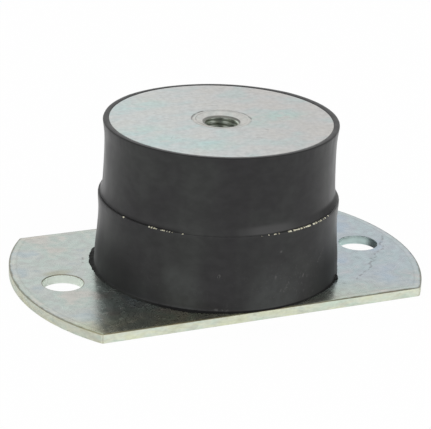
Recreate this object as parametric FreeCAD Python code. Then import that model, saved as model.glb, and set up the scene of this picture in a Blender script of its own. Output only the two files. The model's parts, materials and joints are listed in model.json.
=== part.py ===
import FreeCAD, Part
import math
import os

# Anti-vibration mount: a rubber block bonded between a bolt-down plate and a threaded disc.
# Sizes are in millimetres. The origin is the middle of the plate's underside. Z is the
# mount's axis and points up, and X runs from one bolt hole to the other.

# Base plate: a disc with two flats
plate_diameter = 180.0
plate_width = 107.0
plate_thickness = 4.0
plate_edge_break = 0.4
plate_corner_radius = 1.5
bolt_hole_diameter = 17.5
bolt_hole_spacing = 141.0
bolt_hole_edge_break = 0.3

# Rubber block, whose nominal diameter is that of its top rim
mount_height = 70.0
block_diameter = 100.0
rim_cover = 2.25
rim_edge_break = 0.4
upper_wall_hollow = 0.5
lower_wall_hollow = 0.3
foot_setback = 0.1
foot_slope_height = 1.4
flash_width = 0.3
flash_thickness = 0.4

# Lip that the interleaf raises at the mould's parting line
lip_projection = 1.95
lip_skin = 0.4
lip_slope_height = 3.6
parting_groove_width = 0.5
parting_groove_depth = 1.0
parting_groove_mouth = 0.7

# Interleaf: the steel plate midway between the two rubber layers
interleaf_thickness = 3.0

# Top disc, flush in the rubber rim
disc_thickness = 4.0

# Threaded bush, staked into the middle of the top disc
thread_minor_diameter = 14.0
thread_mouth_diameter = 16.0
countersink_angle = 90.0
dish_diameter = 21.6
dish_depth = 1.1
thread_depth = 16.0
drill_point_angle = 118.0
bush_spigot_diameter = 25.0
bush_collar_diameter = 34.0
bush_height = 24.0
staking_width = 1.4
staking_depth = 0.3

# Radii and heights that follow from the sizes above
block_radius = block_diameter / 2
disc_radius = block_radius - rim_cover
disc_underside = mount_height - disc_thickness
lip_radius = block_radius + lip_projection
flash_radius = plate_width / 2 - plate_edge_break - foot_setback
foot_radius = flash_radius - flash_width
interleaf_bottom = (plate_thickness + disc_underside - interleaf_thickness) / 2
lip_top = interleaf_bottom + interleaf_thickness + lip_skin
lip_bottom = interleaf_bottom - lip_skin
spigot_radius = bush_spigot_diameter / 2

AXIS_FOOT = FreeCAD.Vector(0, 0, 0)
UP = FreeCAD.Vector(0, 0, 1)


def point(radius, height):
    """A point of a turned profile."""
    return FreeCAD.Vector(radius, 0, height)


def line(start, end):
    return Part.LineSegment(start, end).toShape()


def hollow_curve(start, end, hollow):
    """A smooth curve that half-way passes nearer the axis, by hollow, than a straight line."""
    middle = (start + end) * 0.5 - point(hollow, 0)
    return Part.Arc(start, middle, end).toBSpline().toShape()


def joined_lines(corners):
    """Straight edges from each corner to the next."""
    return [line(start, end) for start, end in zip(corners, corners[1:])]


def turned(edges):
    """The solid that a closed profile sweeps round the axis."""
    profile = Part.Face(Part.Wire(edges))
    return profile.revolve(AXIS_FOOT, UP, 360)


def disc(radius, bottom, thickness):
    return Part.makeCylinder(radius, thickness, point(0, bottom))


def edges_at(shape, height):
    """The edges that lie level at one height."""
    def is_level(edge):
        box = edge.BoundBox
        return max(abs(box.ZMin - height), abs(box.ZMax - height)) < 1e-4
    return [edge for edge in shape.Edges if is_level(edge)]


def circles_at(shape, height):
    """The whole circles among the edges at one height."""
    return [edge for edge in edges_at(shape, height) if edge.isClosed()]


def plate_outline():
    """The plate's outline: two arcs of one circle, joined by two parallel flats."""
    radius = plate_diameter / 2
    half_width = plate_width / 2
    half_flat = math.sqrt(radius ** 2 - half_width ** 2)
    front_right = FreeCAD.Vector(half_flat, -half_width, 0)
    back_right = FreeCAD.Vector(half_flat, half_width, 0)
    back_left = FreeCAD.Vector(-half_flat, half_width, 0)
    front_left = FreeCAD.Vector(-half_flat, -half_width, 0)
    right_end = Part.Arc(front_right, FreeCAD.Vector(radius, 0, 0), back_right)
    left_end = Part.Arc(back_left, FreeCAD.Vector(-radius, 0, 0), front_left)
    return Part.Wire([
        right_end.toShape(),
        line(back_right, back_left),
        left_end.toShape(),
        line(front_left, front_right),
    ])


def bolt_holes():
    """The two bolt holes' drills, longer than the plate is thick."""
    drills = []
    for side in (-1, 1):
        foot = FreeCAD.Vector(side * bolt_hole_spacing / 2, 0, -plate_thickness)
        drills.append(Part.makeCylinder(bolt_hole_diameter / 2, plate_thickness * 3, foot))
    return drills


def base_plate():
    """Blanked plate: broken top edges, square lower edges, two punched holes."""
    plate = Part.Face(plate_outline()).extrude(UP * plate_thickness)
    corners = [edge for edge in plate.Edges if edge.BoundBox.ZLength > plate_thickness / 2]
    plate = plate.makeFillet(plate_corner_radius, corners)
    plate = plate.makeChamfer(plate_edge_break, edges_at(plate, plate_thickness))
    for drill in bolt_holes():
        plate = plate.cut(drill)
    return plate.makeChamfer(bolt_hole_edge_break, circles_at(plate, plate_thickness))


def interleaf():
    """The steel plate inside the rubber, which holds the block's middle to size."""
    return disc(lip_radius - lip_skin, interleaf_bottom, interleaf_thickness)


def disc_blank():
    """The top disc before its centre is punched out."""
    return disc(disc_radius, disc_underside, disc_thickness)


def top_disc():
    """The bonded disc, with a hole for the bush's spigot."""
    plate = disc_blank().cut(disc(spigot_radius, disc_underside, disc_thickness))
    inner_edge = min(circles_at(plate, mount_height), key=lambda edge: edge.Length)
    return plate.makeChamfer(staking_depth, [inner_edge])


def bush_blank():
    """The bush's outside: a collar under the disc, and a spigot staked down round its top."""
    collar_radius = bush_collar_diameter / 2
    bottom = mount_height - bush_height
    return turned(joined_lines([
        point(0, mount_height),
        point(0, bottom),
        point(collar_radius, bottom),
        point(collar_radius, disc_underside),
        point(spigot_radius, disc_underside),
        point(spigot_radius, mount_height - staking_depth),
        point(spigot_radius - staking_width, mount_height),
        point(0, mount_height),
    ]))


def thread_bore():
    """The blind bore at the thread's inner diameter, with dish, countersink and drill point."""
    bore_radius = thread_minor_diameter / 2
    mouth_radius = thread_mouth_diameter / 2
    mouth_height = mount_height - dish_depth
    sink = (mouth_radius - bore_radius) / math.tan(math.radians(countersink_angle / 2))
    drill_point = bore_radius / math.tan(math.radians(drill_point_angle / 2))
    bore_end = mount_height - thread_depth
    return turned(joined_lines([
        point(0, mount_height),
        point(0, bore_end - drill_point),
        point(bore_radius, bore_end),
        point(bore_radius, mouth_height - sink),
        point(mouth_radius, mouth_height),
        point(dish_diameter / 2, mount_height),
        point(0, mount_height),
    ]))


def threaded_bush():
    return bush_blank().cut(thread_bore())


def lower_wall():
    """Foot, flash and lower rubber layer, from the plate up to the lip."""
    foot_top = point(foot_radius, plate_thickness + foot_slope_height)
    foot = joined_lines([
        point(0, plate_thickness),
        point(flash_radius, plate_thickness),
        point(flash_radius, plate_thickness + flash_thickness),
        foot_top,
    ])
    return foot + [hollow_curve(foot_top, point(lip_radius, lip_bottom), lower_wall_hollow)]


def slope_foot():
    """Where the slope above the lip meets the parting groove."""
    return point(lip_radius - parting_groove_mouth, lip_top + parting_groove_width)


def lip_edge():
    """The lip over the interleaf's edge, and the parting groove above it."""
    return joined_lines([
        point(lip_radius, lip_bottom),
        point(lip_radius, lip_top),
        point(lip_radius - parting_groove_depth, lip_top),
        slope_foot(),
    ])


def upper_wall():
    """Slope, waisted upper rubber layer and rim, from the parting groove to the top."""
    slope_top = point(block_radius, slope_foot().z + lip_slope_height)
    rim_bottom = point(block_radius, mount_height - rim_edge_break)
    rim = joined_lines([
        rim_bottom,
        point(block_radius - rim_edge_break, mount_height),
        point(0, mount_height),
        point(0, plate_thickness),
    ])
    return [
        line(slope_foot(), slope_top),
        hollow_curve(slope_top, rim_bottom, upper_wall_hollow),
    ] + rim


def rubber_body():
    """One moulding, bonded round the top disc, the bush and the interleaf."""
    block = turned(lower_wall() + lip_edge() + upper_wall())
    for insert in (disc_blank(), bush_blank(), interleaf()):
        block = block.cut(insert)
    return block


pieces = {
    "base_plate": base_plate(),
    "rubber_body": rubber_body(),
    "intermediate_plate": interleaf(),
    "top_disc": top_disc(),
    "threaded_bush": threaded_bush(),
}

os.makedirs("parts", exist_ok=True)
for name, shape in pieces.items():
    shape.exportStep(f"parts/{name}.step")
    print(name, "solids", len(shape.Solids), "valid", shape.isValid(), round(shape.Volume))
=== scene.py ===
import bmesh
import bpy
import json
import math
from mathutils import Matrix, Vector, noise


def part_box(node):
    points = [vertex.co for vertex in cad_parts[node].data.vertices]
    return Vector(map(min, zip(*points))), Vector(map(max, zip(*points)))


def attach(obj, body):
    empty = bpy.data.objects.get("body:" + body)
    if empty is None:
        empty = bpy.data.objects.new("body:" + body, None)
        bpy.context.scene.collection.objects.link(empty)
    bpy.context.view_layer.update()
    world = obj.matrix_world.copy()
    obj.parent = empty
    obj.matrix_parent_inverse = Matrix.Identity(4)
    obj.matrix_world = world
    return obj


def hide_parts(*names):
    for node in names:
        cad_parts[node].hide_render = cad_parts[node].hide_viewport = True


# Anti-vibration mount: a black rubber block bonded between a zinc-plated plate and a threaded disc.

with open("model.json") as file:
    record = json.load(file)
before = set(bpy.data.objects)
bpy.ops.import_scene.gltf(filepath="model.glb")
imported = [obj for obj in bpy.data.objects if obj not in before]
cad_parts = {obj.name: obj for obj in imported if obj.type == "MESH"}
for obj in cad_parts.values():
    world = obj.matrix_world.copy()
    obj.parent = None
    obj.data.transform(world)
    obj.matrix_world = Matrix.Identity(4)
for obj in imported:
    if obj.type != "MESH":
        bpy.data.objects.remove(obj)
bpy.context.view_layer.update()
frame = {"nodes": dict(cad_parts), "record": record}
mm = 0.001

plateLow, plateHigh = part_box("base_plate")
rubberLow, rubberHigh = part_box("rubber_body")
leafLow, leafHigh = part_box("intermediate_plate")
discLow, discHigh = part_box("top_disc")
bushLow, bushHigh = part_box("threaded_bush")
mounts = {mount["name"]: mount for mount in frame["record"]["mounts"]}
bolts = mounts["base_bolts"]["dims"]
print("frame loaded:", sorted(frame["nodes"]))


def deselectAll():
    if bpy.context.mode != "OBJECT":
        bpy.ops.object.mode_set(mode="OBJECT")
    bpy.ops.object.select_all(action="DESELECT")


def editMode(obj, kind, action="DESELECT"):
    deselectAll()
    obj.select_set(True)
    bpy.context.view_layer.objects.active = obj
    bpy.ops.object.mode_set(mode="EDIT")
    bpy.ops.mesh.select_mode(type=kind)
    bpy.ops.mesh.select_all(action=action)


def selectParts(obj, kind, wanted):
    # picks the vertices, edges or faces that wanted() says yes to
    bpy.ops.mesh.select_all(action="DESELECT")
    mesh = bmesh.from_edit_mesh(obj.data)
    parts = {"VERT": mesh.verts, "EDGE": mesh.edges, "FACE": mesh.faces}[kind]
    for part in parts:
        if wanted(part):
            part.select_set(True)
    bmesh.update_edit_mesh(obj.data)


def edgeAt(edge, height):
    return all(abs(vert.co.z - height) < 0.01 * mm for vert in edge.verts)


def applyModifier(obj, kind, **settings):
    deselectAll()
    obj.select_set(True)
    bpy.context.view_layer.objects.active = obj
    bpy.ops.object.modifier_add(type=kind)
    modifier = obj.modifiers[-1]
    for key, value in settings.items():
        setattr(modifier, key, value)
    bpy.ops.object.modifier_apply(modifier=modifier.name)


def cutAway(obj, cutter):
    applyModifier(obj, "BOOLEAN", operation="DIFFERENCE", solver="EXACT", object=cutter)
    bpy.data.objects.remove(cutter, do_unlink=True)


def turnRings(name, rings, sides):
    # a turned shape: one circle, extruded and resized from ring to ring of (radius, height)
    deselectAll()
    radius, height = rings[0]
    bpy.ops.mesh.primitive_circle_add(
        vertices=sides, radius=radius, fill_type="NOTHING", location=(0, 0, height))
    obj = bpy.context.object
    obj.name = obj.data.name = name
    bpy.ops.object.transform_apply(location=True, rotation=True, scale=True)
    editMode(obj, "EDGE", "SELECT")
    for (fromRadius, fromHeight), (toRadius, toHeight) in zip(rings, rings[1:]):
        grow = toRadius / fromRadius
        bpy.ops.mesh.extrude_region_move(
            TRANSFORM_OT_translate={"value": (0, 0, toHeight - fromHeight)})
        bpy.ops.transform.resize(value=(grow, grow, 1), center_override=(0, 0, toHeight))
    return obj


def closeEnds(obj):
    # fills every open loop, then points all faces outwards
    editMode(obj, "EDGE")
    bpy.ops.mesh.select_non_manifold()
    bpy.ops.mesh.edge_face_add()
    outwards(obj)


def outwards(obj):
    editMode(obj, "FACE", "SELECT")
    bpy.ops.mesh.remove_doubles(threshold=0.001 * mm)
    bpy.ops.mesh.normals_make_consistent(inside=False)
    bpy.ops.object.mode_set(mode="OBJECT")


def finishPiece(obj, node, smoothAngle, weighted=True):
    deselectAll()
    obj.select_set(True)
    bpy.context.view_layer.objects.active = obj
    bpy.ops.object.transform_apply(location=True, rotation=True, scale=True)
    bpy.ops.object.shade_smooth_by_angle(angle=math.radians(smoothAngle))
    if weighted:
        applyModifier(obj, "WEIGHTED_NORMAL", keep_sharp=True)
    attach(obj, "root")
    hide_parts(node)
    print("piece", obj.name, "faces", len(obj.data.polygons))


def curveThrough(start, middle, end, steps):
    # points along the circle through three (radius, height) points, the start left out
    (ax, ay), (bx, by), (cx, cy) = start, middle, end
    d = 2 * (ax * (by - cy) + bx * (cy - ay) + cx * (ay - by))
    a2, b2, c2 = ax * ax + ay * ay, bx * bx + by * by, cx * cx + cy * cy
    ox = (a2 * (by - cy) + b2 * (cy - ay) + c2 * (ay - by)) / d
    oy = (a2 * (cx - bx) + b2 * (ax - cx) + c2 * (bx - ax)) / d
    radius = math.hypot(ax - ox, ay - oy)
    first, last = math.atan2(ay - oy, ax - ox), math.atan2(cy - oy, cx - ox)
    sweep = (last - first + math.pi) % (2 * math.pi) - math.pi
    angles = [first + sweep * step / steps for step in range(1, steps + 1)]
    return [(ox + radius * math.cos(a), oy + radius * math.sin(a)) for a in angles]


def fairCurve(points, steps):
    # an even curve through all the (radius, height) points, the first left out
    ends = [points[0]] + points + [points[-1]]
    rows = []
    for quad in zip(ends, ends[1:], ends[2:], ends[3:]):
        for step in range(1, steps + 1):
            t = step / steps
            rows.append(tuple(
                0.5 * (2 * b + (c - a) * t + (2 * a - 5 * b + 4 * c - d) * t ** 2
                       + (3 * b - a - 3 * c + d) * t ** 3)
                for a, b, c, d in zip(*quad)))
    return rows


def alongTable(table, angle):
    # a value from (angle, value) rows round the axis, straight between two rows
    degrees = math.degrees(angle) % 360
    rows = sorted((row[0] % 360, row[1]) for row in table)
    rows = [(rows[-1][0] - 360, rows[-1][1])] + rows + [(rows[0][0] + 360, rows[0][1])]
    for (low, first), (high, last) in zip(rows, rows[1:]):
        if low <= degrees <= high:
            return first + (last - first) * (degrees - low) / max(high - low, 1e-6)
    return rows[-1][1]


def smoothStep(value, low, high):
    share = min(max((value - low) / (high - low), 0), 1)
    return share * share * (3 - 2 * share)


def roughness1d(angle, frequency, seed):
    # repeatable unevenness round the axis, about -1 to 1
    place = Vector((math.cos(angle), math.sin(angle), 0)) * frequency
    return noise.noise(place + Vector((0, 0, seed)))


# Base plate: a blanked disc with two flats and two punched holes

plateSpec = {
    "roundSteps": 256,
    "cornerSetback": 0.75 * mm,
    "edgeRound": 0.3 * mm,
    "dieRoll": [(0.2, 0.09), (0.25, 0.06), (0.3, 0.03), (0.3, 0.0)],  # inset, rise in mm
    "holeSteps": 96,
    "holeRound": 0.2 * mm,
    "burr": 0.12 * mm,
}


def modelPlate(spec):
    rise = sum(step[1] for step in spec["dieRoll"]) * mm
    depth = plateHigh.z - rise
    deselectAll()
    bpy.ops.mesh.primitive_cylinder_add(
        vertices=spec["roundSteps"], radius=plateHigh.x, depth=depth, location=(0, 0, depth / 2))
    plate = bpy.context.object
    plate.name = plate.data.name = "zincPlate"
    bpy.ops.object.transform_apply(location=True, rotation=True, scale=True)

    editMode(plate, "EDGE")
    for side in (-1, 1):  # the two flats
        bpy.ops.mesh.select_all(action="SELECT")
        bpy.ops.mesh.bisect(plane_co=(0, side * plateHigh.y, 0), plane_no=(0, side, 0),
                            use_fill=True, clear_outer=True)

    def cornerEdge(edge):
        upright = abs(edge.verts[0].co.z - edge.verts[1].co.z) > depth / 2
        return upright and all(abs(vert.co.y) > plateHigh.y - 0.01 * mm for vert in edge.verts)

    selectParts(plate, "EDGE", cornerEdge)
    bpy.ops.mesh.bevel(offset=spec["cornerSetback"], segments=6, affect="EDGES")
    selectParts(plate, "EDGE", lambda edge: edgeAt(edge, depth))
    bpy.ops.mesh.bevel(offset=spec["edgeRound"], segments=4, affect="EDGES")
    selectParts(plate, "EDGE", lambda edge: edgeAt(edge, 0))
    bpy.ops.mesh.bevel(offset=spec["burr"], segments=1, affect="EDGES")

    bpy.ops.mesh.select_mode(type="FACE")
    selectParts(plate, "FACE", lambda face: face.calc_center_median().z > depth - 0.01 * mm
                and face.normal.z > 0.99)
    for inset, lift in spec["dieRoll"]:  # the top's edge rolls down where the die pulled it
        bpy.ops.mesh.inset(thickness=inset * mm, depth=lift * mm)

    for side in (-1, 1):
        deselectAll()
        bpy.ops.mesh.primitive_cylinder_add(
            vertices=spec["holeSteps"], radius=bolts["hole_r_mm"] * mm, depth=4 * plateHigh.z,
            location=(side * bolts["spacing_x_mm"] / 2 * mm, 0, plateHigh.z / 2))
        cutAway(plate, bpy.context.object)

    def holeEdge(edge):
        def onHole(vert):
            away = math.hypot(abs(vert.co.x) - bolts["spacing_x_mm"] / 2 * mm, vert.co.y)
            return abs(away - bolts["hole_r_mm"] * mm) < 0.02 * mm
        return edgeAt(edge, plateHigh.z) and all(onHole(vert) for vert in edge.verts)

    editMode(plate, "EDGE")
    selectParts(plate, "EDGE", holeEdge)
    bpy.ops.mesh.bevel(offset=spec["holeRound"], segments=4, affect="EDGES")
    outwards(plate)
    return plate


plate = modelPlate(plateSpec)
finishPiece(plate, "base_plate", 40)


# Rubber block: flash on the plate, lower layer, lip, groove, waisted upper layer, rim

rubberSpec = {
    "sides": 720,
    "flashEdge": 0.2, "flashTop": 0.42, "flashWidth": 0.3,
    "lowerWall": [(53.1, 5.0), (53.05, 8.0), (52.85, 12.0), (52.45, 16.0), (52.1, 20.0),
                  (51.76, 25.0), (51.66, 29.0), (51.78, 32.5), (51.95, 34.8)],  # radius, height
    "lipSkin": 0.4, "lipCorner": 0.35,
    "grooveDepth": 1.0,
    "upperWall": [(51.15, 37.45), (50.6, 38.9), (50.25, 40.4), (50.02, 42.3), (49.86, 44.8),
                  (49.7, 48.6), (49.55, 53.5), (49.48, 58.5), (49.55, 63.0), (49.8, 66.6),
                  (50.1, 69.4)],
    "rimCorner": 0.5,
    "rimSwell": [  # angle, extra radius
                 (-30, 0.1), (-15, 0.45), (0, 0.8), (15, 1.0), (30, 1.15), (45, 0.5), (60, 0.3),
                 (75, 0.1), (90, 0.0), (105, 0.1), (120, 0.3), (135, 0.2), (150, 0.05), (165, 0.25),
                 (180, 0.3), (195, 0.2), (210, 0.05), (240, 0.0), (300, 0.0)],
    "flashReach": [(-180, 54.4), (-173, 54.2), (-160, 54.1), (-143, 54.2), (-134, 54.7),
                   (-125, 55.0), (-117, 54.5), (-108, 54.0), (-98, 53.8), (-90, 53.6), (-80, 53.4),
                   (-71, 53.2), (-64, 53.3), (-56, 53.5), (-49, 53.9), (-44, 54.0), (-40.2, 53.9),
                   (-38.2, 54.9), (-36.5, 53.7), (-31, 53.3), (-10, 53.4), (20, 53.6), (60, 53.4),
                   (90, 53.3), (130, 53.5), (141, 54.1), (145, 55.7), (150, 55.7), (155, 55.5),
                   (162, 55.1), (169, 54.6), (175, 54.4)],  # angle, radius
    "curlAt": -38.5, "curlWidth": 2.5, "curlRise": 1.7,  # the flash stands up here
}


def modelRubber(spec):
    floorHeight = plateHigh.z / mm
    topHeight = rubberHigh.z / mm
    lipRadius = leafHigh.x / mm + spec["lipSkin"]
    lipTop = leafHigh.z / mm + spec["lipSkin"]
    pocketRadius = discHigh.x / mm
    foot = spec["lowerWall"][0]
    wallTop, lipFoot = spec["upperWall"][-1], (lipRadius, spec["lowerWall"][-1][1])
    corner, rimCorner = spec["lipCorner"], spec["rimCorner"]
    flash = foot[0] + spec["flashWidth"]
    rings = [
        (flash, floorHeight),
        (flash, floorHeight + spec["flashEdge"]),
        (flash - 0.08, floorHeight + spec["flashEdge"] + 0.12),
        (flash - 0.18, floorHeight + spec["flashTop"]),
        (foot[0] + 0.05, floorHeight + spec["flashTop"] + 0.1),
        foot,
    ]
    rings += fairCurve(spec["lowerWall"][:-1] + [lipFoot], 3)
    rings.append((lipRadius, lipTop - corner))
    rings += curveThrough((lipRadius, lipTop - corner),
                          (lipRadius - corner * 0.3, lipTop - corner * 0.3),
                          (lipRadius - corner, lipTop), 4)
    rings.append((lipRadius - spec["grooveDepth"], lipTop + 0.06))
    rings.append((lipRadius - spec["grooveDepth"], lipTop + 0.14))
    rings.append(spec["upperWall"][0])
    rings += fairCurve(spec["upperWall"], 3)
    rimRadius = wallTop[0]
    rings += curveThrough(wallTop, (rimRadius - rimCorner * 0.25, topHeight - rimCorner * 0.32),
                          (rimRadius - rimCorner, topHeight), 4)
    rings += [
        (pocketRadius + 0.25, topHeight),
        (pocketRadius, topHeight - 0.12),
        (pocketRadius, discLow.z / mm),
        (bushHigh.x / mm, discLow.z / mm),
        (bushHigh.x / mm, bushLow.z / mm),
    ]
    rubber = turnRings("mouldedRubber", [(r * mm, z * mm) for r, z in rings], spec["sides"])
    closeEnds(rubber)

    plateReach = plateHigh.y - 0.15 * mm
    flashHeight = (floorHeight + spec["flashTop"] + 0.11) * mm
    for vert in rubber.data.vertices:
        x, y, z = vert.co
        radius, angle = math.hypot(x, y), math.atan2(y, x)
        if radius < pocketRadius * mm - 1 * mm:
            continue
        if z < flashHeight and radius > foot[0] * mm:  # ragged flash on the plate
            reach = alongTable(spec["flashReach"], angle) - flash
            crumbly = 1 + 1.0 * smoothStep(-x / mm, 12, 36)
            reach += 0.16 * crumbly * (roughness1d(angle, 30, 4.1) + roughness1d(angle, 85, 1.7))
            if z > (floorHeight + 0.25) * mm:
                curl = max(0, 1 - abs(math.degrees(angle) - spec["curlAt"]) / spec["curlWidth"])
                uneven = 0.14 * crumbly * roughness1d(angle, 60, 9.4)
                vert.co.z += (uneven + spec["curlRise"] * curl) * mm
            share = (radius / mm - foot[0]) / spec["flashWidth"]
            radius = min(radius + reach * mm * share, plateReach / max(abs(math.sin(angle)), 0.01))
            radius = max(radius, foot[0] * mm)
        else:
            lip = smoothStep(z / mm, 35.5, 36.6) * (1 - smoothStep(z / mm, 37.6, 39.0))
            rim = smoothStep(z / mm, 62.0, 69.0) * smoothStep(radius / mm, 48.0, 49.0)
            radius += 0.05 * roughness1d(angle, 3, z / mm * 0.05) * mm
            radius += 0.09 * lip * roughness1d(angle, 30, 8.3) * mm
            swell = alongTable(spec["rimSwell"], angle) + 0.05 * roughness1d(angle, 25, 5.2)
            radius += rim * swell * mm
            vert.co.z += 0.1 * lip * roughness1d(angle, 14, 2.9) * mm
            if lipTop + 0.03 < z / mm < lipTop + 0.3:  # the groove is nearly closed in front
                degrees = math.degrees(angle)
                radius += 0.5 * smoothStep(degrees, -140, -124) * smoothStep(-degrees, 82, 92) * mm
        vert.co.x = radius * math.cos(angle)
        vert.co.y = radius * math.sin(angle)

    deselectAll()
    bpy.ops.mesh.primitive_cylinder_add(  # the cavity that holds the interleaf
        vertices=spec["sides"], radius=leafHigh.x, depth=leafHigh.z - leafLow.z,
        location=(0, 0, (leafHigh.z + leafLow.z) / 2))
    cutAway(rubber, bpy.context.object)
    return rubber


rubber = modelRubber(rubberSpec)
finishPiece(rubber, "rubber_body", 50, weighted=False)


# Interleaf: the steel plate inside the block, whose edge shows bare in flecks at the lip

leafSpec = {
    "sides": 1440,
    "reach": 0.66,  # how far a fleck stands out past the plate's radius, mm
    "rise": 0.72,
    "ragged": 0.68,  # more of it makes the flecks longer
    "flecks": [  # from angle, to angle, fullness
        (-163.6, -162.2, 0.9), (-147.4, -142.4, 1.0), (-141.4, -138.6, 0.8), (-137.8, -133.6, 0.75),
        (-130.6, -129.0, 0.8), (-94.0, -84.8, 0.7), (-80.6, -66.4, 1.0), (-64.8, -61.6, 1.0),
        (-60.4, -57.6, 1.0), (-56.2, -55.4, 0.9), (-54.6, -53.2, 1.0), (-51.4, -50.2, 0.9),
    ],
}


def modelInterleaf(spec):
    radius, low, high = leafHigh.x, leafLow.z, leafHigh.z
    rings = [(10 * mm, low), (radius, low), (radius, high - 0.5 * mm), (radius, high),
             (radius - 0.35 * mm, high), (radius - 1.2 * mm, high), (10 * mm, high)]
    leaf = turnRings("interleafPlate", rings, spec["sides"])
    closeEnds(leaf)
    for vert in leaf.data.vertices:
        x, y, z = vert.co
        angle = math.atan2(y, x)
        away = math.hypot(x, y)
        if z < high - 0.1 * mm or away < radius - 0.5 * mm:
            continue
        degrees = math.degrees(angle)
        fullness = 0
        for start, end, strength in spec["flecks"]:
            if start < degrees < end:
                ragged = spec["ragged"] + 0.9 * roughness1d(angle, 95, 3.3)
                ragged += 0.5 * roughness1d(angle, 40, 6.1)
                fullness = strength * min(max(ragged, 0), 1)
        if fullness == 0:
            continue
        outer = away > radius - 0.1 * mm
        away += spec["reach"] * mm * fullness * (1.0 if outer else 0.55)
        vert.co.x = away * math.cos(angle)
        vert.co.y = away * math.sin(angle)
        vert.co.z += spec["rise"] * mm * fullness * (0.75 if outer else 1.0)
    return leaf


leaf = modelInterleaf(leafSpec)
finishPiece(leaf, "intermediate_plate", 40, weighted=False)


# Top disc, flush with the rubber rim, punched out for the bush

discSpec = {
    "sides": 360,
    "edgeRound": 0.3,
    "holeRadius": 12.5,
    "holeChamfer": 0.14,
}


def modelDisc(spec):
    radius, low, high = discHigh.x / mm, discLow.z / mm, discHigh.z / mm
    edge = spec["edgeRound"]
    hole, chamfer = spec["holeRadius"], spec["holeChamfer"]
    rings = [(radius, low), (radius, high - edge)]
    rings += curveThrough((radius, high - edge), (radius - edge * 0.3, high - edge * 0.3),
                          (radius - edge, high), 4)
    rings += [(radius - 0.8, high), (hole + 1.5, high), (hole + chamfer + 0.3, high),
              (hole + chamfer, high - 0.02), (hole, high - chamfer), (hole, low), (radius, low)]
    disc = turnRings("topDisc", [(r * mm, z * mm) for r, z in rings], spec["sides"])
    outwards(disc)
    return disc


disc = modelDisc(discSpec)
finishPiece(disc, "top_disc", 40)


# Threaded bush, staked into the disc, with an M16 thread

bushSpec = {
    "sides": 180,
    "spigotRadius": 12.5,
    "stakeWidth": 1.4, "stakeDepth": 0.16,
    "dishRadius": 10.8, "dishDepth": 1.1, "mouthRadius": 8.0, "mouthSink": 0.6,
    "boreRadius": 7.0, "boreEnd": 54.0, "drillPoint": 4.2,
    "majorRadius": 8.0, "pitch": 2.0,
    "rootFlat": 0.25, "threadEnd": 55.5, "turnSteps": 96,
}


def modelTap(spec):
    # the solid that cuts the thread: one tooth's outline, screwed up the bore
    inner, outer = spec["boreRadius"] - 0.1, spec["majorRadius"]
    flank = (outer - inner) * math.tan(math.radians(30))
    crestFlat = spec["pitch"] - spec["rootFlat"] - 2 * flank
    moves = [(0, crestFlat), (outer - inner, flank), (0, spec["rootFlat"]), (inner - outer, flank)]
    start = spec["threadEnd"] - 2 * spec["pitch"]
    deselectAll()
    bpy.ops.mesh.primitive_plane_add(size=mm, location=(inner * mm, 0, start * mm))
    tap = bpy.context.object
    bpy.ops.object.transform_apply(location=True, rotation=True, scale=True)
    editMode(tap, "VERT", "SELECT")
    bpy.ops.mesh.merge(type="CENTER")
    for outward, upward in moves:
        bpy.ops.mesh.extrude_region_move(
            TRANSFORM_OT_translate={"value": (outward * mm, 0, upward * mm)})
    turns = math.ceil((bushHigh.z / mm - start) / spec["pitch"]) + 2
    applyModifier(tap, "SCREW", angle=2 * math.pi, screw_offset=spec["pitch"] * mm,
                  iterations=turns, steps=spec["turnSteps"], render_steps=spec["turnSteps"],
                  use_merge_vertices=True, merge_threshold=0.001 * mm)
    editMode(tap, "FACE", "SELECT")
    bpy.ops.mesh.remove_doubles(threshold=0.001 * mm)
    for height, side in ((spec["threadEnd"] * mm, -1), (bushHigh.z + 1 * mm, 1)):
        bpy.ops.mesh.select_all(action="SELECT")
        bpy.ops.mesh.bisect(plane_co=(0, 0, height), plane_no=(0, 0, side),
                            use_fill=True, clear_outer=True)
    outwards(tap)
    return tap


def modelBush(spec):
    collar, low, high = bushHigh.x / mm, bushLow.z / mm, bushHigh.z / mm
    shoulder = discLow.z / mm
    spigot = spec["spigotRadius"]
    mouth = high - spec["dishDepth"]
    rings = [
        (collar, low), (collar, shoulder), (spigot, shoulder),
        (spigot, high - spec["stakeDepth"]),
        (spigot - 0.25, high - spec["stakeDepth"]),
        (spigot - spec["stakeWidth"], high - 0.04),
        (spigot - spec["stakeWidth"] - 0.12, high),
        (spec["dishRadius"] + 0.3, high),
        (spec["dishRadius"] - 0.1, high - 0.08),
        (spec["dishRadius"] - 0.6, high - 0.26),
        (spec["mouthRadius"] + 0.3, mouth + 0.08),
        (spec["mouthRadius"], mouth - 0.04),
        (spec["boreRadius"], mouth - spec["mouthSink"]),
        (spec["boreRadius"], spec["boreEnd"]),
        (0.4, spec["boreEnd"] - spec["drillPoint"]),
    ]
    bush = turnRings("threadedBush", [(r * mm, z * mm) for r, z in rings], spec["sides"])
    closeEnds(bush)
    cutAway(bush, modelTap(spec))
    outwards(bush)
    return bush


bush = modelBush(bushSpec)
finishPiece(bush, "threaded_bush", 35)


# Materials

def addNode(material, kind, inputs=None, **settings):
    tree = material.node_tree
    node = tree.nodes.new(kind)
    for key, value in settings.items():
        setattr(node, key, value)
    for key, value in (inputs or {}).items():
        if isinstance(value, bpy.types.NodeSocket):
            tree.links.new(value, node.inputs[key])
        else:
            node.inputs[key].default_value = value
    return node


def newMaterial(name, shaderInputs):
    # the material, its shader, and places on the object in millimetres
    material = bpy.data.materials.new(name)
    material.use_nodes = True
    material.node_tree.nodes.clear()
    output = addNode(material, "ShaderNodeOutputMaterial")
    shader = addNode(material, "ShaderNodeBsdfPrincipled", shaderInputs)
    material.node_tree.links.new(shader.outputs["BSDF"], output.inputs["Surface"])
    place = addNode(material, "ShaderNodeTexCoord").outputs["Object"]
    return material, shader, scaled(material, place, 1000.0)


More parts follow.
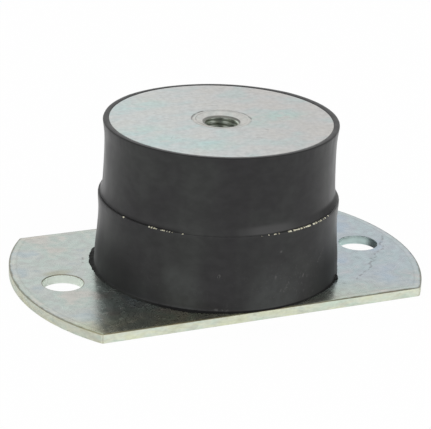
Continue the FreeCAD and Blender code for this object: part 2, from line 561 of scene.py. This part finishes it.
def connect(material, value, shader, name):
    material.node_tree.links.new(value, shader.inputs[name])


def vectorNode(material, operation, first, second=None, scale=None):
    inputs = {0: first}
    if second is not None:
        inputs[1] = second
    if scale is not None:
        inputs["Scale"] = scale
    node = addNode(material, "ShaderNodeVectorMath", inputs, operation=operation)
    return node.outputs["Value" if operation in ("LENGTH", "DOT_PRODUCT") else "Vector"]


def mathNode(material, operation, first, second=0.0, clamp=False):
    node = addNode(material, "ShaderNodeMath", {0: first, 1: second},
                   operation=operation, use_clamp=clamp)
    return node.outputs[0]


def times(material, first, second):
    return mathNode(material, "MULTIPLY", first, second)


def scaled(material, value, factor):
    return vectorNode(material, "SCALE", value, scale=factor)


def splitPlace(material, place):
    return addNode(material, "ShaderNodeSeparateXYZ", {"Vector": place}).outputs


def grain(material, place, size, detail=3.0, stretch=(1, 1, 1), offset=(0, 0, 0), kind="Fac"):
    # soft noise whose patches are about size millimetres across
    mapping = addNode(material, "ShaderNodeMapping", {
        "Vector": place, "Scale": tuple(part / size for part in stretch), "Location": offset})
    texture = addNode(material, "ShaderNodeTexNoise", {
        "Vector": mapping.outputs["Vector"], "Scale": 1.0, "Detail": detail})
    return texture.outputs[kind]


def spread(material, value, low, high, toLow=0.0, toHigh=1.0):
    node = addNode(material, "ShaderNodeMapRange",
                   {"Value": value, "From Min": low, "From Max": high,
                    "To Min": toLow, "To Max": toHigh}, interpolation_type="SMOOTHSTEP")
    return node.outputs["Result"]


def ramp(material, factor, stops):
    # stops are (position, colour)
    node = addNode(material, "ShaderNodeValToRGB", {"Fac": factor})
    elements = node.color_ramp.elements
    while len(elements) < len(stops):
        elements.new(0.5)
    for element, (position, colour) in zip(elements, stops):
        element.position = position
        element.color = (*colour, 1)
    return node.outputs["Color"]


def blend(material, factor, first, second, mode="MIX"):
    node = addNode(material, "ShaderNodeMix", data_type="RGBA", blend_type=mode)
    for index, value in ((0, factor), (6, first), (7, second)):
        if isinstance(value, bpy.types.NodeSocket):
            material.node_tree.links.new(value, node.inputs[index])
        elif index == 0:
            node.inputs[index].default_value = value
        else:
            node.inputs[index].default_value = (*value, 1)
    return node.outputs[2]


def tint(material, factor, colour, shade):
    return blend(material, factor, colour, shade, "MULTIPLY")


def patch(material, place, centre, radius, soft, stretch=(1, 1, 1)):
    # 1 inside a round patch, fading to 0 over soft millimetres
    away = vectorNode(material, "SUBTRACT", place, centre)
    away = vectorNode(material, "MULTIPLY", away, stretch)
    return spread(material, vectorNode(material, "LENGTH", away), radius, radius + soft, 1.0, 0.0)


def fromMirrored(material, x, y, centre):
    # how far from a point that repeats left and right, front and back
    offsets = []
    for value, part in ((x, centre[0]), (y, centre[1])):
        value = mathNode(material, "ABSOLUTE", value)
        offsets.append(mathNode(material, "SUBTRACT", value, part))
    away = addNode(material, "ShaderNodeCombineXYZ", {"X": offsets[0], "Y": offsets[1]})
    return vectorNode(material, "LENGTH", away.outputs["Vector"])


def strokes(material, place, lines, width, wobble=0.0):
    # 1 on thin lines drawn from point to point, 0 away from them
    if wobble:
        shift = grain(material, place, 2.2, 2, kind="Color")
        shift = vectorNode(material, "SUBTRACT", shift, (0.5, 0.5, 0.5))
        shift = vectorNode(material, "MULTIPLY", shift, (wobble, wobble, 0))
        place = vectorNode(material, "ADD", place, shift)
    nearest = None
    for line in lines:
        for start, end in zip(line, line[1:]):
            start, along = Vector(start), Vector(end) - Vector(start)
            away = vectorNode(material, "SUBTRACT", place, tuple(start))
            share = vectorNode(material, "DOT_PRODUCT", away, tuple(along / along.length_squared))
            share = mathNode(material, "ADD", share, 0.0, clamp=True)
            foot = scaled(material, tuple(along), share)
            gap = vectorNode(material, "LENGTH", vectorNode(material, "SUBTRACT", away, foot))
            nearest = gap if nearest is None else mathNode(material, "MINIMUM", nearest, gap)
    return spread(material, nearest, width * 0.2, width, 1.0, 0.0)


def bump(material, shader, height, strength, distance, under=None):
    inputs = {"Height": height, "Strength": strength, "Distance": distance}
    if under is not None:
        inputs["Normal"] = under
    normal = addNode(material, "ShaderNodeBump", inputs).outputs["Normal"]
    connect(material, normal, shader, "Normal")
    return normal


def dress(obj, material):
    obj.data.materials.clear()
    obj.data.materials.append(material)


# Rubber: satin black, cloudy, a little dusty low down, with a few scuffs, painted shade on the
# rim's top, on the flash, low down at both sides, on the slope and in the groove, and a painted
# highlight on the slope in front

rubberLook = {
    "shader": {"Metallic": 0.0, "IOR": 1.26, "Sheen Weight": 0.2, "Sheen Roughness": 0.25},
    # the rim top's colour is painted shade
    "black": (0.027, 0.0265, 0.0274), "rimTopShade": (0.008, 0.008, 0.008),
    "dust": (0.041, 0.0435, 0.041),
    "scuff": (0.075, 0.075, 0.073),
    # flash colours: painted shade on the flash
    "flash": (0.007, 0.007, 0.007), "thickFlashShade": (0.02, 0.0215, 0.02),
    "dustLow": (0.049, 0.0515, 0.0505),
    # a painted shade colour, where the rubber is also made duller
    "dull": (0.012, 0.012, 0.012),
    # a painted highlight colour, and where it sits on the slope
    "paintedSlopeHighlight": (0.056, 0.056, 0.056), "paintedSlopeHighlightAt": (1, -50.5, 38.6),
    "rough": (0.30, 0.37),
    "dustPatches": [((-32.5, -41.0, 11.0), 3.0, 9.0), ((-36.0, -38.0, 17.0), 1.0, 6.0),
                    ((3.0, -52.0, 7.0), 5.0, 12.0)],  # place, radius, softness
    "scuffs": [[(8.6, -51.9, 11.6), (9.6, -51.7, 14.4)], [(7.6, -52.0, 11.0), (8.5, -51.8, 12.4)],
               [(5.8, -52.2, 11.2), (6.3, -52.1, 11.9)], [(5.8, -51.4, 28.6), (6.0, -51.4, 28.9)],
               [(17.3, -49.6, 15.2), (17.8, -49.4, 16.0)], [(3.6, -52.3, 17.4), (3.9, -52.2, 18.6)],
               [(26.5, -45.0, 19.0), (30.5, -42.6, 23.5)],
               [(-20.4, -48.0, 19.2), (-20.0, -48.2, 20.0)],
               [(-18.8, -49.8, 5.1), (-16.8, -50.4, 4.9)],
               [(-21.6, -48.4, 5.2), (-20.8, -48.8, 5.2)]],
}


def rubberMaterial(look):
    material, shader, place = newMaterial("satinRubber", look["shader"])
    x, y, z = splitPlace(material, place)
    clouds = grain(material, place, 24, 4)
    cloudy = spread(material, clouds, 0.45, 0.72, 0.0, 0.5)
    colour = blend(material, cloudy, look["black"], look["dust"])
    bands = grain(material, place, 11, 2, (1, 1, 0.12), (3, 1, 0))
    colour = blend(material, spread(material, bands, 0.4, 0.65, 0.0, 0.25), colour, look["dust"])
    mottle = grain(material, place, 3.2, 5, (0.7, 0.7, 1), (1, 4, 0))
    colour = scaled(material, colour, spread(material, mottle, 0.3, 0.7, 0.9, 1.1))
    dusty = None
    for centre, radius, soft in look["dustPatches"]:
        spot = patch(material, place, centre, radius, soft, (1, 1, 0.8))
        dusty = spot if dusty is None else mathNode(material, "MAXIMUM", dusty, spot)
    broken = spread(material, grain(material, place, 4, 4), 0.35, 0.65, 0.6, 1.0)
    dusty = times(material, dusty, broken)
    colour = blend(material, dusty, colour, look["dustLow"])
    scuffed = strokes(material, place, look["scuffs"], 0.8, 0.6)
    rubbedOff = spread(material, grain(material, place, 0.7, 3), 0.4, 0.6)
    scuffed = times(material, scuffed, rubbedOff)
    colour = blend(material, scuffed, colour, look["scuff"])
    crumbs = grain(material, place, 1.1, 3, offset=(0, 3, 5))
    crumbs = spread(material, crumbs, 0.58, 0.72, 0.0, 0.45)
    crumbs = times(material, crumbs, spread(material, z, 33, 12))
    crumbs = times(material, crumbs, spread(material, x, -12, 12, 0.25, 1.0))
    colour = blend(material, crumbs, colour, look["scuff"])
    # painted shade: the rim's top face darkened
    colour = blend(material, spread(material, z, 69.6, 69.9), colour, look["rimTopShade"])
    # painted shade, and duller too: the slope's right part, low down at both sides, the groove at
    # the left
    slope = times(material, spread(material, z, 37.2, 37.5), spread(material, z, 41.5, 39.5))
    dull = mathNode(material, "MAXIMUM", spread(material, z, 28, 13), slope)
    dull = times(material, dull, spread(material, x, 16, 34))
    dullShadeLeft = spread(material, x, -43, -51, 0.0, 0.8)
    dullShadeLeft = times(material, spread(material, z, 30, 12), dullShadeLeft)
    dull = mathNode(material, "MAXIMUM", dull, dullShadeLeft)
    groove = spread(material, z, 38.8, 37.6, 0.0, 0.6)
    groove = times(material, spread(material, z, 36.8, 37.0), groove)
    groove = times(material, groove, spread(material, x, -28, -40))
    dull = mathNode(material, "MAXIMUM", dull, groove)
    colour = blend(material, dull, colour, look["dull"])
    # a pale painted highlight on the slope in front
    paintedSlopeHighlight = patch(material, place, look["paintedSlopeHighlightAt"], 4, 12, (1, 1, 3.2))
    colour = blend(material, times(material, paintedSlopeHighlight, slope), colour, look["paintedSlopeHighlight"])
    # painted shade: the flash on the plate near black, less dark where it is thick at the left
    low = spread(material, z, 4.5, 4.8, 1.0, 0.0)
    flash = blend(material, spread(material, x, -38, -50), look["flash"], look["thickFlashShade"])
    colour = blend(material, low, colour, flash)
    connect(material, colour, shader, "Base Color")
    rubbed = grain(material, place, 7, 4, (1, 1, 0.4), (0, 5, 2))
    rough = spread(material, rubbed, 0.35, 0.65, *look["rough"])
    rough = mathNode(material, "ADD", rough, times(material, dusty, 0.1))
    rough = mathNode(material, "ADD", rough, times(material, dull, 0.3))
    rough = mathNode(material, "ADD", rough, times(material, low, 0.3))
    connect(material, rough, shader, "Roughness")
    waves = bump(material, shader, grain(material, place, 9, 2), 0.25, 0.0002)
    bump(material, shader, grain(material, place, 0.4, 2), 0.4, 0.00002, waves)
    return material


# Zinc plate: pale, patchy and finely speckled, with a dull sheared edge on the base plate, whose
# round ends and right hole wall are painted darker as shade

zincTints = [(0.34, (0.90, 0.975, 1.05)), (0.44, (1.0, 1.0, 1.0)), (0.54, (0.94, 1.025, 1.0)),
             (0.65, (1.06, 0.985, 0.96))]


def zincPatches(material, place, colour, size, tintStops, strength=1.0, stretch=(1, 1, 1),
                seed=0.0):
    # faint rainbow patches, then light and dark mottling and fine speckle
    tints = ramp(material, grain(material, place, size, 4, stretch, (seed, 2 * seed, 0)), tintStops)
    colour = tint(material, strength, colour, tints)
    mottle = grain(material, place, size * 0.25, 4, offset=(seed, 0, 0))
    mottle = spread(material, mottle, 0.3, 0.7, 0.925, 1.07)
    speckle = spread(material, grain(material, place, 0.8, 2), 0.25, 0.75, 0.97, 1.03)
    pitted = grain(material, place, 1.3, 3, (0.6, 1, 1), (3, seed, 0))
    pitted = spread(material, pitted, 0.6, 0.72, 1.0, 0.9)
    shade = times(material, times(material, mottle, speckle), pitted)
    return scaled(material, colour, shade)


sideTints = [(0.36, (0.93, 1.01, 1.02)), (0.48, (1.0, 1.0, 1.0)), (0.6, (1.01, 1.0, 0.91))]

plateLook = {
    "left": (0.468, 0.498, 0.474), "right": (0.40, 0.444, 0.476),
    # the round sides' colour is painted shade, darker than the flat sides
    "flatSide": (0.72, 0.75, 0.655), "roundSideShade": (0.61, 0.625, 0.545),
    # hole wall colours: the left hole's wall lit, the right hole's wall in painted shade
    "holeWall": (0.87, 0.93, 0.86), "shadedHoleWall": (0.66, 0.79, 0.77),
    "deepShadedHoleWall": (0.134, 0.16, 0.168),
    "edgeLine": (0.48, 0.42, 0.33), "rollBand": (1.10, 1.06, 1.03), "rollLine": (0.93, 0.91, 0.89),
    "cornerLine": (0.42, 0.39, 0.30),
    "frontTarnish": (1.1, 1.04, 0.86), "holeTarnish": (0.86, 0.82, 0.70),
    "holeTarnishAt": (-69.5, 10.5, 4),
    "cornerAt": (72.2, 53.3),
    "mark": (0.65, 0.63, 0.63), "scratch": (1.2, 1.2, 1.2),
    "rough": (0.18, 0.27),
    "marks": [
        [(85.2, 3.9, 4), (83.6, 0.5, 4), (80.8, -2.7, 4), (78.9, -4.8, 4), (79.6, -6.4, 4),
         (79.0, -8.0, 4), (78.1, -10.1, 4), (76.4, -10.2, 4), (74.1, -12.3, 4), (72.4, -12.3, 4),
         (71.4, -14.6, 4), (70.8, -17.2, 4), (68.8, -17.9, 4), (67.1, -17.9, 4), (68.4, -20.6, 4),
         (66.3, -21.0, 4), (63.8, -23.5, 4), (63.8, -26.1, 4), (61.2, -27.8, 4), (59.7, -29.0, 4),
         (57.3, -31.0, 4), (56.0, -31.9, 4), (53.2, -34.1, 4), (50.8, -36.5, 4)],
        [(61.2, -15.0, 4), (62.2, -16.0, 4)], [(41.8, -37.9, 4), (43.8, -39.2, 4)],
        [(40.9, -48.0, 4), (39.8, -49.2, 4)], [(-85.3, -22.6, 4), (-84.5, -23.6, 4)],
        [(-53.4, 23.4, 4), (-55.2, 17.9, 4)],
    ],
    "scratches": [
        [(-58.4, 48.5, 4), (-53.6, 43.2, 4)], [(-77.9, -25.9, 4), (-75.1, -22.4, 4)],
        [(-79.3, -26.5, 4), (-78.6, -22.0, 4)], [(-81.5, 33.0, 4), (-78.6, 30.8, 4)],
        [(60.0, 2.0, 4), (57.5, -4.0, 4)], [(70.0, -33.0, 4), (82.0, -22.0, 4)],
    ],
}


def plateMaterial(look):
    material, shader, place = newMaterial("plateZinc", {"Metallic": 0.95})
    x, y, z = splitPlace(material, place)
    colour = blend(material, spread(material, x, -45, 55), look["left"], look["right"])
    colour = zincPatches(material, place, colour, 15, zincTints)
    streaks = grain(material, place, 1.2, 3, (0.12, 1, 1))
    colour = scaled(material, colour, spread(material, streaks, 0.3, 0.7, 0.975, 1.025))

    # a warm film along the front and by the left hole
    corner = spread(material, x, 75, 15, 0.35, 1.0)
    corner = times(material, spread(material, y, -30, -50), corner)
    colour = tint(material, corner, colour, look["frontTarnish"])
    tan = patch(material, place, look["holeTarnishAt"], 1.5, 5, (0.7, 1.6, 1))
    colour = tint(material, tan, colour, look["holeTarnish"])

    # rolled edge: a pale band, a dull line inside it and a brown line at the very edge
    flat = vectorNode(material, "MULTIPLY", place, (1, 1, 0))
    fromEnd = mathNode(material, "SUBTRACT", plateHigh.x / mm, vectorNode(material, "LENGTH", flat))
    fromFlat = mathNode(material, "SUBTRACT", plateHigh.y / mm, mathNode(material, "ABSOLUTE", y))
    margin = mathNode(material, "MINIMUM", fromEnd, fromFlat)
    ragged = mathNode(material, "SUBTRACT", grain(material, place, 3, 3), 0.5)
    ragged = times(material, ragged, 1.2)
    margin = mathNode(material, "ADD", margin, ragged)
    band = times(material, spread(material, margin, 1.0, 1.6), spread(material, margin, 3.0, 2.2))
    colour = tint(material, band, colour, look["rollBand"])
    inner = times(material, spread(material, margin, 2.7, 3.1), spread(material, margin, 3.9, 3.3))
    colour = tint(material, inner, colour, look["rollLine"])
    line = spread(material, fromEnd, 1.6, 2.6, 0.8, 1.0)
    line = times(material, spread(material, margin, 1.1, 0.5), line)
    colour = tint(material, line, colour, look["edgeLine"])
    fromHole = fromMirrored(material, x, y, (bolts["spacing_x_mm"] / 2, 0))
    rimOfHole = mathNode(material, "SUBTRACT", fromHole, bolts["hole_r_mm"])
    rimOfHole = spread(material, rimOfHole, 0.5, 0.2)
    rimOfHole = times(material, rimOfHole, spread(material, x, 20, -20, 0.15, 0.9))
    colour = tint(material, rimOfHole, colour, look["edgeLine"])

    broken = spread(material, grain(material, place, 1.6, 3), 0.36, 0.56)
    marked = times(material, strokes(material, place, look["marks"], 0.75, 1.1), broken)
    colour = tint(material, marked, colour, look["mark"])
    scratched = times(material, strokes(material, place, look["scratches"], 0.3), broken)
    colour = tint(material, scratched, colour, look["scratch"])

    # sheared sides, smeared along the plate, with the round ends painted darker as shade, and the
    # walls of the holes
    sheared = spread(material, z, 3.75, 3.6)
    isRound = spread(material, fromFlat, 0.3, 0.8)
    side = blend(material, isRound, look["flatSide"], look["roundSideShade"])
    fibres = grain(material, place, 0.9, 4, (0.5, 0.5, 1))
    side = scaled(material, side, spread(material, fibres, 0.3, 0.7, 0.955, 1.045))
    smears = ramp(material, grain(material, place, 5, 4, (0.6, 0.6, 1.8), (5, 0, 0)), sideTints)
    side = tint(material, 0.8, side, smears)
    smudged = spread(material, grain(material, place, 4, 4, (0.7, 0.7, 1.5)), 0.32, 0.5, 0.92, 1.02)
    side = scaled(material, side, smudged)
    inHole = spread(material, fromHole, 10.0, 9.3)
    # painted shade: the right hole's wall darker, darkest at its outer side and towards the top
    deep = spread(material, x, 77.2, 79.2)
    shadedWall = blend(material, deep, look["shadedHoleWall"], look["deepShadedHoleWall"])
    shadedWall = scaled(material, shadedWall, spread(material, z, 1.8, 3.4, 1.08, 0.84))
    wall = blend(material, spread(material, x, -20, 20), look["holeWall"], shadedWall)
    side = blend(material, inHole, side, wall)
    colour = blend(material, sheared, colour, side)
    fromCorner = fromMirrored(material, x, y, look["cornerAt"])
    cornerLine = spread(material, fromCorner, 0.6, 0.15, 0.0, 0.4)
    colour = blend(material, cornerLine, colour, look["cornerLine"])
    connect(material, colour, shader, "Base Color")

    rub = grain(material, place, 4, 4, (1, 0.4, 1))
    rough = spread(material, rub, 0.3, 0.7, *look["rough"])
    specks = spread(material, grain(material, place, 2.2, 4, (0.5, 1, 1), (2, 7, 0)), 0.5, 0.7)
    rough = mathNode(material, "ADD", rough, times(material, specks, 0.07))
    rough = mathNode(material, "ADD", rough, times(material, line, 0.25))
    rough = mathNode(material, "ADD", rough, times(material, sheared, 0.2))
    connect(material, rough, shader, "Roughness")
    height = grain(material, place, 0.75, 3)
    height = mathNode(material, "ADD", height, times(material, marked, -1.5))
    bump(material, shader, height, 0.35, 0.00003)
    return material


discLook = {
    "left": (0.525, 0.555, 0.55), "right": (0.475, 0.475, 0.467),
    # the ring colour is painted shade for the seam round the bush
    "shadeRing": (0.42, 0.40, 0.38),
    "mark": (0.62, 0.62, 0.62),
    "rough": (0.28, 0.36),
    "tint": (0.875, 1.03, 1.015),
    "tintPatches": [((-24.4, 28.3, 70), 2.0), ((-38.1, -4.0, 70), 1.5), ((-32.8, -17.2, 70), 1.0),
                    ((-18.1, -30.2, 70), 2.0), ((12.8, -7.8, 70), 2.0), ((23.7, -2.0, 70), 1.0),
                    ((30.0, -3.9, 70), 0.8)],  # place, radius
    "marks": [
        [(-29.3, 30.4, 70), (-28.1, 29.4, 70)], [(28.0, 33.1, 70), (28.8, 32.7, 70)],
        [(12.0, -17.6, 70), (12.9, -19.2, 70)], [(4.3, -26.8, 70), (5.9, -27.8, 70)],
        [(1.6, 18.1, 70), (3.6, 17.9, 70), (5.6, 17.3, 70)],
    ],
    "scratches": [
        [(-30.2, -17.5, 70), (-28.2, -14.2, 70)], [(-18.0, -23.5, 70), (-15.5, -22.0, 70)],
        [(22.5, -9.5, 70), (26.5, -7.5, 70)], [(-26.0, 6.0, 70), (-19.0, 8.5, 70)],
        [(10.0, 30.0, 70), (16.0, 27.0, 70)],
    ],
}


discTints = [(0.36, (0.90, 1.015, 1.01)), (0.48, (1.0, 1.0, 1.0)), (0.62, (1.03, 1.005, 0.975))]


def paintedShadeRing(material, place, radius, width, seed):
    # a broken dark ring
    # painted shade in the staking seam and groove
    flat = vectorNode(material, "MULTIPLY", place, (1, 1, 0))
    off = mathNode(material, "SUBTRACT", vectorNode(material, "LENGTH", flat), radius)
    off = mathNode(material, "ABSOLUTE", off)
    shadeRing = spread(material, off, width * 0.4, width, 1.0, 0.0)
    broken = grain(material, place, 6, 3, offset=(seed, 0, 0))
    broken = spread(material, broken, 0.42, 0.58, 0.15, 1.0)
    return times(material, shadeRing, broken)


def discMaterial(look):
    material, shader, place = newMaterial("discZinc", {"Metallic": 0.95})
    x = splitPlace(material, place)[0]
    colour = blend(material, spread(material, x, -40, 35), look["left"], look["right"])
    colour = zincPatches(material, place, colour, 9, discTints, 0.9, (0.6, 1, 1), 4.0)
    blotched = spread(material, grain(material, place, 4, 4, (0.6, 1, 1)), 0.25, 0.55)
    for centre, radius in look["tintPatches"]:
        blotch = patch(material, place, centre, radius, 8, (0.6, 1, 1))
        blotch = times(material, blotch, blotched)
        colour = tint(material, blotch, colour, look["tint"])
    broken = spread(material, grain(material, place, 1.6, 3), 0.35, 0.5)
    marked = times(material, strokes(material, place, look["marks"], 0.45, 0.4), broken)
    colour = tint(material, marked, colour, look["mark"])
    scratched = times(material, strokes(material, place, look["scratches"], 0.3), broken)
    scratched = times(material, scratched, 0.5)
    colour = tint(material, scratched, colour, look["mark"])
    # painted shade round the bush's seam
    shadeRing = paintedShadeRing(material, place, 12.75, 0.4, 2.0)
    colour = tint(material, shadeRing, colour, look["shadeRing"])
    connect(material, colour, shader, "Base Color")
    rub = grain(material, place, 5, 4)
    connect(material, spread(material, rub, 0.3, 0.7, *look["rough"]), shader, "Roughness")
    bump(material, shader, grain(material, place, 0.7, 3), 0.35, 0.00002)
    return material


bushLook = {
    # the stake colour is painted shade for the staking groove
    "face": (0.53, 0.53, 0.505), "stakeShade": (0.6, 0.59, 0.58),
    # the thread's streak, root and mouth colours are painted highlight and painted shade
    "thread": (0.60, 0.67, 0.59), "oil": (0.40, 0.42, 0.34), "root": (0.30, 0.32, 0.27),
    "mouth": (0.16, 0.165, 0.145), "paintedGlint": (0.95, 0.99, 0.92), "paintedStreakShade": (0.17, 0.19, 0.165),
    "glintStreaks": [(-0.9, 7.35, 66), (4.75, 5.65, 66)],
    "shadeStreaks": [(-4.6, 5.8, 66), (2.5, 7.0, 66), (6.9, 2.7, 66)],
    "rough": (0.32, 0.42),
}


def bushMaterial(look):
    material, shader, place = newMaterial("bushZinc", {})
    z = splitPlace(material, place)[2]
    colour = zincPatches(material, place, look["face"], 9, discTints, 0.5, seed=8.0)
    # painted shade in the staking groove
    for radius, seed in ((12.3, 3.0), (11.0, 6.0)):
        shadeRing = paintedShadeRing(material, place, radius, 0.3, seed)
        colour = tint(material, shadeRing, colour, look["stakeShade"])
    flat = vectorNode(material, "MULTIPLY", place, (1, 1, 0))
    radius = vectorNode(material, "LENGTH", flat)
    # thread: oily patches, painted highlights and painted shade as streaks up the bore, painted
    # shade in the thread roots and in the mouth
    oily = spread(material, grain(material, place, 2.5, 4, (1, 1, 2)), 0.42, 0.6)
    thread = blend(material, oily, look["thread"], look["oil"])
    for name, streaks in (("paintedGlint", look["glintStreaks"]), ("paintedStreakShade", look["shadeStreaks"])):
        for centre in streaks:
            streak = patch(material, place, centre, 0.3, 1.5, (1, 1, 0))
            streak = times(material, streak, 0.75)
            thread = blend(material, streak, thread, look[name])
    thread = blend(material, spread(material, radius, 7.3, 7.75, 0.0, 0.7), thread, look["root"])
    thread = blend(material, spread(material, z, 68.1, 68.4), thread, look["mouth"])
    inside = spread(material, radius, 8.35, 8.15)
    inside = times(material, inside, spread(material, z, 69.0, 68.8))
    connect(material, spread(material, inside, 0, 1, 0.95, 0.6), shader, "Metallic")
    colour = blend(material, inside, colour, thread)
    connect(material, colour, shader, "Base Color")
    rub = grain(material, place, 3, 4)
    connect(material, spread(material, rub, 0.3, 0.7, *look["rough"]), shader, "Roughness")
    bump(material, shader, grain(material, place, 0.7, 3), 0.3, 0.00002)
    return material


leafLook = {"bare": (0.92, 0.89, 0.72), "dull": (0.64, 0.60, 0.44), "rough": (0.4, 0.55)}


def leafMaterial(look):
    material, shader, place = newMaterial("leafSteel", {"Metallic": 0.2})
    worn = spread(material, grain(material, place, 1.2, 3), 0.4, 0.6)
    connect(material, blend(material, worn, look["dull"], look["bare"]), shader, "Base Color")
    rub = grain(material, place, 2, 3)
    connect(material, spread(material, rub, 0.3, 0.7, *look["rough"]), shader, "Roughness")
    bump(material, shader, grain(material, place, 0.5, 2), 0.3, 0.00002)
    return material


dress(rubber, rubberMaterial(rubberLook))
dress(plate, plateMaterial(plateLook))
dress(disc, discMaterial(discLook))
dress(bush, bushMaterial(bushLook))
dress(leaf, leafMaterial(leafLook))
print("materials done")


# Studio: white floor and surround, two soft lamps in front, one above

studioSpec = {
    "floorSize": 8, "floorDrop": 0.2 * mm, "floorPaper": (0.9, 0.9, 0.9), "floorGlow": 0.96,
    "surround": 0.85,
    "lamps": [  # name, azimuth, elevation, distance, size, watts
        ("softboxRight", 32, 27, 1.3, 1.9, 3.3),
        ("softboxLeft", -70, 24, 1.3, 1.5, 2.2),
        ("softboxTop", 0, 88, 1.5, 1.2, 1.5),
    ],
}


def addFloor(spec):
    deselectAll()
    bpy.ops.mesh.primitive_plane_add(size=spec["floorSize"], location=(0, 0, -spec["floorDrop"]))
    floor = bpy.context.object
    floor.name = "studioFloor"
    material = bpy.data.materials.new("whiteFloor")
    material.use_nodes = True
    nodes, links = material.node_tree.nodes, material.node_tree.links
    nodes.clear()
    output = nodes.new("ShaderNodeOutputMaterial")
    paper = nodes.new("ShaderNodeBsdfDiffuse")
    paper.inputs["Color"].default_value = (*spec["floorPaper"], 1)
    glow = nodes.new("ShaderNodeEmission")
    path = nodes.new("ShaderNodeLightPath")
    share = nodes.new("ShaderNodeMath")
    share.operation = "MULTIPLY"
    share.inputs[1].default_value = spec["floorGlow"]
    mixer = nodes.new("ShaderNodeMixShader")
    links.new(path.outputs["Is Camera Ray"], share.inputs[0])
    links.new(share.outputs[0], mixer.inputs[0])
    links.new(paper.outputs[0], mixer.inputs[1])
    links.new(glow.outputs[0], mixer.inputs[2])
    links.new(mixer.outputs[0], output.inputs[0])
    floor.data.materials.append(material)


def addWorld(level):
    world = bpy.data.worlds.new("studioSurround")
    bpy.context.scene.world = world
    world.use_nodes = True
    nodes, links = world.node_tree.nodes, world.node_tree.links
    nodes.clear()
    output = nodes.new("ShaderNodeOutputWorld")
    background = nodes.new("ShaderNodeBackground")
    background.inputs["Color"].default_value = (1, 1, 1, 1)
    path = nodes.new("ShaderNodeLightPath")
    seen = None
    for name in ("Is Camera Ray", "Is Glossy Ray", "Is Transmission Ray"):
        if seen is None:
            seen = path.outputs[name]
            continue
        either = nodes.new("ShaderNodeMath")
        either.operation = "MAXIMUM"
        links.new(seen, either.inputs[0])
        links.new(path.outputs[name], either.inputs[1])
        seen = either.outputs[0]
    strength = nodes.new("ShaderNodeMapRange")
    strength.inputs["To Min"].default_value = level
    strength.inputs["To Max"].default_value = 1.0
    links.new(seen, strength.inputs["Value"])
    links.new(strength.outputs[0], background.inputs["Strength"])
    links.new(background.outputs[0], output.inputs[0])


def aroundMount(azimuth, elevation, distance):
    # azimuth 0 is in front, at -Y, as the camera's is
    a, e = math.radians(azimuth), math.radians(elevation)
    return Vector((math.sin(a) * math.cos(e), -math.cos(a) * math.cos(e), math.sin(e))) * distance


def addLamp(name, azimuth, elevation, distance, size, watts):
    place = aroundMount(azimuth, elevation, distance) + Vector((0, 0, 35 * mm))
    bpy.ops.object.light_add(type="AREA", location=place)
    lamp = bpy.context.object
    lamp.name = name
    lamp.rotation_mode = "QUATERNION"
    lamp.rotation_quaternion = place.to_track_quat("Z", "Y")
    lamp.data.shape = "DISK"
    lamp.data.size = size
    lamp.data.energy = watts


cameraSpec = {
    "azimuth": -24.515, "elevation": 21.407, "roll": 2.366,
    "distance": 763.21, "aimRight": -0.885, "aimUp": -8.044, "aimHeight": 35.0,
    "lens": 147.68, "sensor": 36.0,
}


def addCamera(spec):
    back = aroundMount(spec["azimuth"], spec["elevation"], 1)
    azimuth = math.radians(spec["azimuth"])
    right = Vector((math.cos(azimuth), math.sin(azimuth), 0))
    up = back.cross(right)
    place = back * spec["distance"] + right * spec["aimRight"] + up * spec["aimUp"]
    place = (place + Vector((0, 0, spec["aimHeight"]))) * mm
    facing = Matrix((right, up, back)).transposed()
    facing = facing @ Matrix.Rotation(math.radians(spec["roll"]), 3, "Z")
    bpy.ops.object.camera_add(location=place)
    camera = bpy.context.object
    camera.rotation_mode = "QUATERNION"
    camera.rotation_quaternion = facing.to_quaternion()
    camera.data.lens = spec["lens"]
    camera.data.sensor_width = spec["sensor"]
    camera.data.clip_start = 0.01
    bpy.context.scene.camera = camera


addFloor(studioSpec)
addWorld(studioSpec["surround"])
for lamp in studioSpec["lamps"]:
    addLamp(*lamp)
addCamera(cameraSpec)
bpy.context.scene.view_settings.view_transform = "Standard"

print("scene ready")
